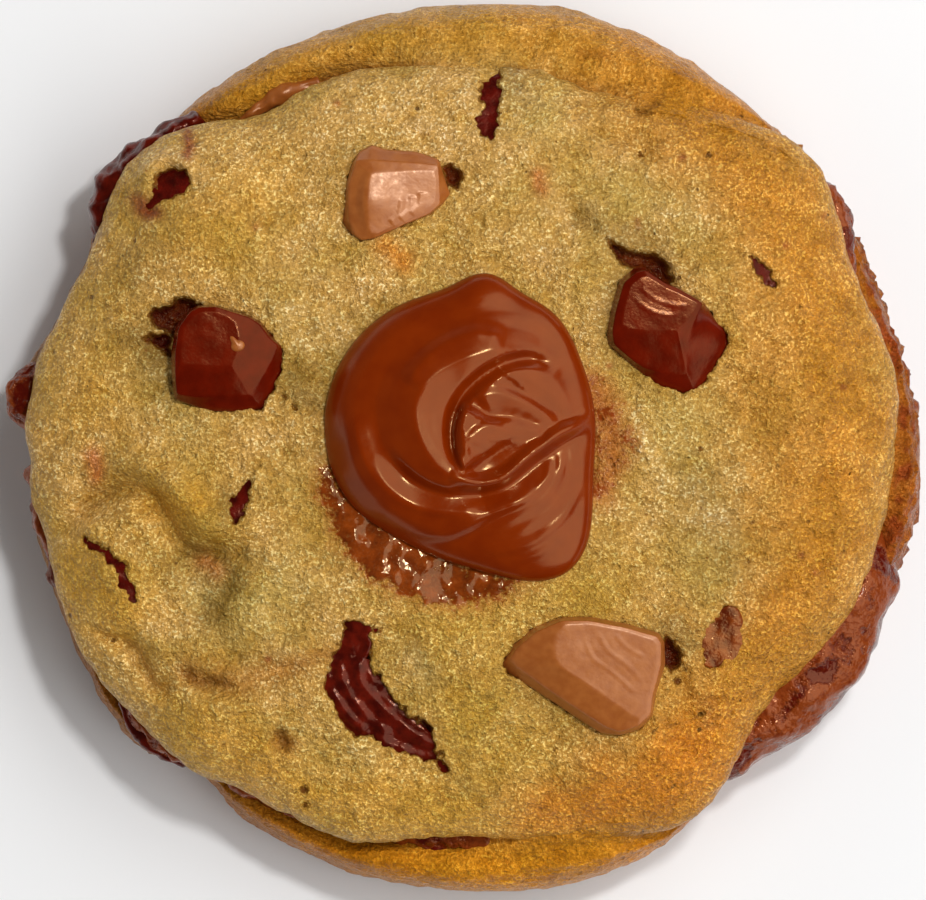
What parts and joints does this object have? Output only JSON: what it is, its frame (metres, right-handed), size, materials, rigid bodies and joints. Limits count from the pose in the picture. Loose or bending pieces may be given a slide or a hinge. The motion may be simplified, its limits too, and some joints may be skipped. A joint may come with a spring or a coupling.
{
  "type": "stuffed cookie",
  "caption": "Large round baked cookie made of a lower and an upper round of dough with a chocolate filling between them, chocolate chunks in its top and a swirled dollop of spread.",
  "frame": {"origin": "on the table under the middle of the cookie's box", "axes": "+X to the right and +Y upwards in the plan view of the top, +Z up out of the top"},
  "size_m": [0.1102, 0.1072, 0.0321],
  "materials": {
    "baked_dough": "matte, crumbly and lightly browned",
    "baked_filling": "matte to satin, crusted",
    "chocolate_spread": "glossy and smooth",
    "milk_chocolate": "satin",
    "dark_chocolate": "glossy"
  },
  "bodies": {
    "root": {"lower_dough": "baked_dough", "upper_dough": "baked_dough", "filling": "baked_filling", "spread_dollop": "chocolate_spread", "milk_chunk_1": "milk_chocolate", "milk_chunk_2": "milk_chocolate", "buried_milk_chunk": "milk_chocolate", "dark_chunk_1": "dark_chocolate", "dark_chunk_2": "dark_chocolate", "melted_chunk": "dark_chocolate", "melted_strip": "dark_chocolate", "melted_streak": "dark_chocolate", "melted_shard": "dark_chocolate", "small_dark_bit": "dark_chocolate", "torn_spot_chunk": "dark_chocolate", "edge_chunk_left": "baked_filling", "edge_chunk_upper_left": "baked_filling", "crease_sliver": "milk_chocolate", "melted_pool_bottom": "dark_chocolate", "melted_pool_lower_left": "dark_chocolate"}
  },
  "joints": []
}
